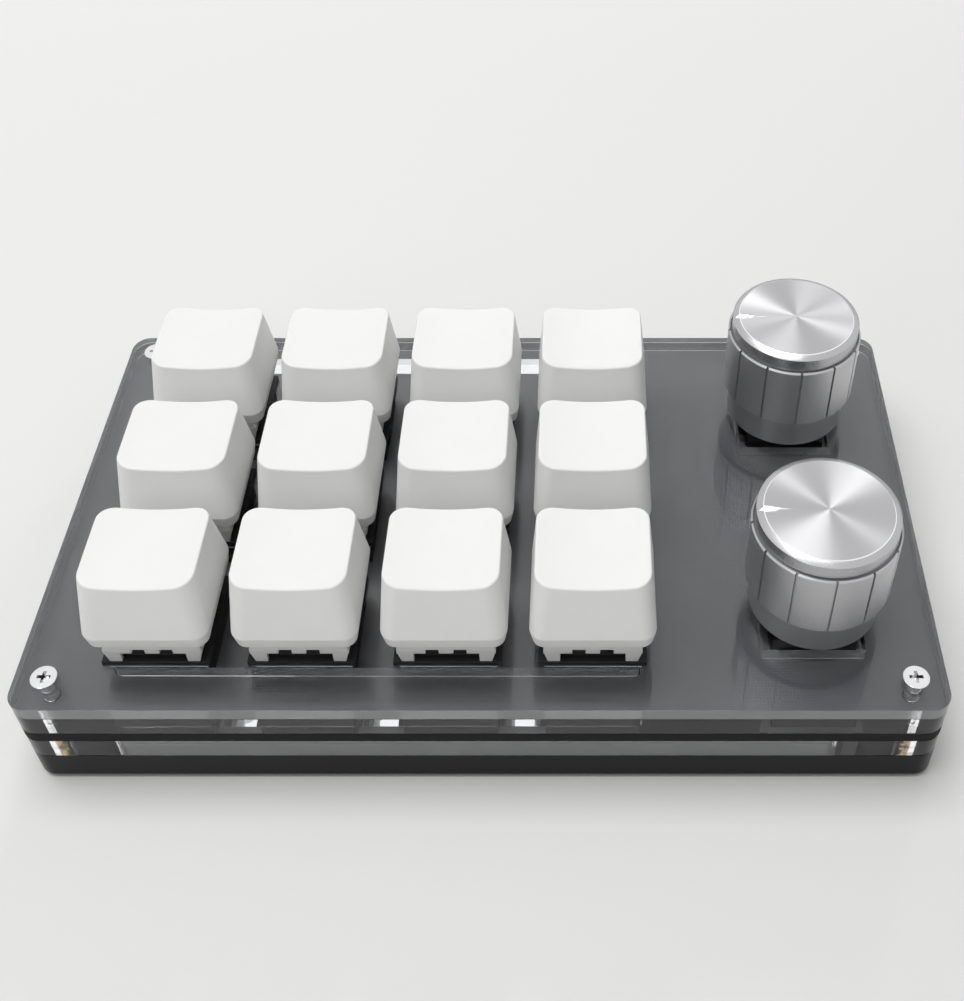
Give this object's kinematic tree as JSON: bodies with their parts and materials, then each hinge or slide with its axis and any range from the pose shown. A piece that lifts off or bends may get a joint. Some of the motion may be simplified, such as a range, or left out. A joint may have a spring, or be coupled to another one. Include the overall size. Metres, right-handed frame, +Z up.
{
  "type": "macro keypad with knobs",
  "caption": "Desk macro keypad in a screwed stack of clear sheets on a black base, with sprung keys in a grid and turning push knobs beside them.",
  "frame": {"origin": "centre of the footprint, at the undersides of the rubber feet", "axes": "+X to the right along the long side, +Y to the back, +Z up"},
  "size_m": [0.134, 0.078, 0.0398],
  "materials": {
    "clear_acrylic": "polished clear cast acrylic, sawn and polished edges",
    "black_board": "glass-epoxy board under black solder mask",
    "black_acrylic": "black cast acrylic",
    "bright_steel": "turned and bright nickel plated screws",
    "brass": "turned, bright",
    "black_rubber": "moulded, dull",
    "plated_steel": "pressed and bright plated",
    "black_resin": "moulded chip package",
    "white_resin": "moulded lamp body",
    "black_nylon": "moulded",
    "milky_polycarbonate": "moulded, translucent",
    "milky_acetal": "moulded, slippery",
    "spring_steel": "bright wire",
    "white_abs": "moulded, fine satin grain",
    "turned_aluminium": "turned and radially brushed, clear anodised",
    "dark_aluminium": "turned smooth, darker satin"
  },
  "bodies": {
    "case": {"top_plate": "clear_acrylic", "upper_frame": "clear_acrylic", "circuit_board": "black_board", "lower_frame": "clear_acrylic", "base_plate": "black_acrylic", "corner_screws": "bright_steel", "threaded_inserts": "brass", "rubber_feet": "black_rubber", "usb_socket": "plated_steel", "controller_chip": "black_resin", "key_lights": "white_resin", "switch_bases": "black_nylon", "switch_hoods": "milky_polycarbonate", "switch_contacts": "brass", "encoder_bodies": "plated_steel", "encoder_bushings": "plated_steel", "spring_front_1": "spring_steel", "spring_front_2": "spring_steel", "spring_front_3": "spring_steel", "spring_front_4": "spring_steel", "spring_middle_1": "spring_steel", "spring_middle_2": "spring_steel", "spring_middle_3": "spring_steel", "spring_middle_4": "spring_steel", "spring_rear_1": "spring_steel", "spring_rear_2": "spring_steel", "spring_rear_3": "spring_steel", "spring_rear_4": "spring_steel"},
    "key_front_1": {"keycap_front_1": "white_abs", "stem_front_1": "milky_acetal"},
    "key_front_2": {"keycap_front_2": "white_abs", "stem_front_2": "milky_acetal"},
    "key_front_3": {"keycap_front_3": "white_abs", "stem_front_3": "milky_acetal"},
    "key_front_4": {"keycap_front_4": "white_abs", "stem_front_4": "milky_acetal"},
    "key_middle_1": {"keycap_middle_1": "white_abs", "stem_middle_1": "milky_acetal"},
    "key_middle_2": {"keycap_middle_2": "white_abs", "stem_middle_2": "milky_acetal"},
    "key_middle_3": {"keycap_middle_3": "white_abs", "stem_middle_3": "milky_acetal"},
    "key_middle_4": {"keycap_middle_4": "white_abs", "stem_middle_4": "milky_acetal"},
    "key_rear_1": {"keycap_rear_1": "white_abs", "stem_rear_1": "milky_acetal"},
    "key_rear_2": {"keycap_rear_2": "white_abs", "stem_rear_2": "milky_acetal"},
    "key_rear_3": {"keycap_rear_3": "white_abs", "stem_rear_3": "milky_acetal"},
    "key_rear_4": {"keycap_rear_4": "white_abs", "stem_rear_4": "milky_acetal"},
    "push_front": {"encoder_plunger_front": "black_nylon"},
    "knob_front": {"encoder_shaft_front": "turned_aluminium", "knob_core_front": "dark_aluminium", "knob_shell_front": "turned_aluminium"},
    "push_rear": {"encoder_plunger_rear": "black_nylon"},
    "knob_rear": {"encoder_shaft_rear": "turned_aluminium", "knob_core_rear": "dark_aluminium", "knob_shell_rear": "turned_aluminium"}
  },
  "joints": [
    {"name": "press_front_1", "type": "slide", "parent": "case", "child": "key_front_1", "axis": [0, 0, -1], "range_m": [0, 0.004], "stiffness_N_per_m": 75, "springref_m": -0.004, "deforming": ["spring_front_1"]},
    {"name": "press_front_2", "type": "slide", "parent": "case", "child": "key_front_2", "axis": [0, 0, -1], "range_m": [0, 0.004], "stiffness_N_per_m": 75, "springref_m": -0.004, "deforming": ["spring_front_2"]},
    {"name": "press_front_3", "type": "slide", "parent": "case", "child": "key_front_3", "axis": [0, 0, -1], "range_m": [0, 0.004], "stiffness_N_per_m": 75, "springref_m": -0.004, "deforming": ["spring_front_3"]},
    {"name": "press_front_4", "type": "slide", "parent": "case", "child": "key_front_4", "axis": [0, 0, -1], "range_m": [0, 0.004], "stiffness_N_per_m": 75, "springref_m": -0.004, "deforming": ["spring_front_4"]},
    {"name": "press_middle_1", "type": "slide", "parent": "case", "child": "key_middle_1", "axis": [0, 0, -1], "range_m": [0, 0.004], "stiffness_N_per_m": 75, "springref_m": -0.004, "deforming": ["spring_middle_1"]},
    {"name": "press_middle_2", "type": "slide", "parent": "case", "child": "key_middle_2", "axis": [0, 0, -1], "range_m": [0, 0.004], "stiffness_N_per_m": 75, "springref_m": -0.004, "deforming": ["spring_middle_2"]},
    {"name": "press_middle_3", "type": "slide", "parent": "case", "child": "key_middle_3", "axis": [0, 0, -1], "range_m": [0, 0.004], "stiffness_N_per_m": 75, "springref_m": -0.004, "deforming": ["spring_middle_3"]},
    {"name": "press_middle_4", "type": "slide", "parent": "case", "child": "key_middle_4", "axis": [0, 0, -1], "range_m": [0, 0.004], "stiffness_N_per_m": 75, "springref_m": -0.004, "deforming": ["spring_middle_4"]},
    {"name": "press_rear_1", "type": "slide", "parent": "case", "child": "key_rear_1", "axis": [0, 0, -1], "range_m": [0, 0.004], "stiffness_N_per_m": 75, "springref_m": -0.004, "deforming": ["spring_rear_1"]},
    {"name": "press_rear_2", "type": "slide", "parent": "case", "child": "key_rear_2", "axis": [0, 0, -1], "range_m": [0, 0.004], "stiffness_N_per_m": 75, "springref_m": -0.004, "deforming": ["spring_rear_2"]},
    {"name": "press_rear_3", "type": "slide", "parent": "case", "child": "key_rear_3", "axis": [0, 0, -1], "range_m": [0, 0.004], "stiffness_N_per_m": 75, "springref_m": -0.004, "deforming": ["spring_rear_3"]},
    {"name": "press_rear_4", "type": "slide", "parent": "case", "child": "key_rear_4", "axis": [0, 0, -1], "range_m": [0, 0.004], "stiffness_N_per_m": 75, "springref_m": -0.004, "deforming": ["spring_rear_4"]},
    {"name": "knob_push_front", "type": "slide", "parent": "case", "child": "push_front", "axis": [0, 0, -1], "range_m": [0, 0.0005], "stiffness_N_per_m": 3000, "springref_m": -0.0005},
    {"name": "knob_turn_front", "type": "hinge", "parent": "push_front", "child": "knob_front", "pos_m": [0.0491, -0.0202, 0.03], "axis": [0, 0, 1], "continuous": true},
    {"name": "knob_push_rear", "type": "slide", "parent": "case", "child": "push_rear", "axis": [0, 0, -1], "range_m": [0, 0.0005], "stiffness_N_per_m": 3000, "springref_m": -0.0005},
    {"name": "knob_turn_rear", "type": "hinge", "parent": "push_rear", "child": "knob_rear", "pos_m": [0.0491, 0.0205, 0.03], "axis": [0, 0, 1], "continuous": true}
  ]
}
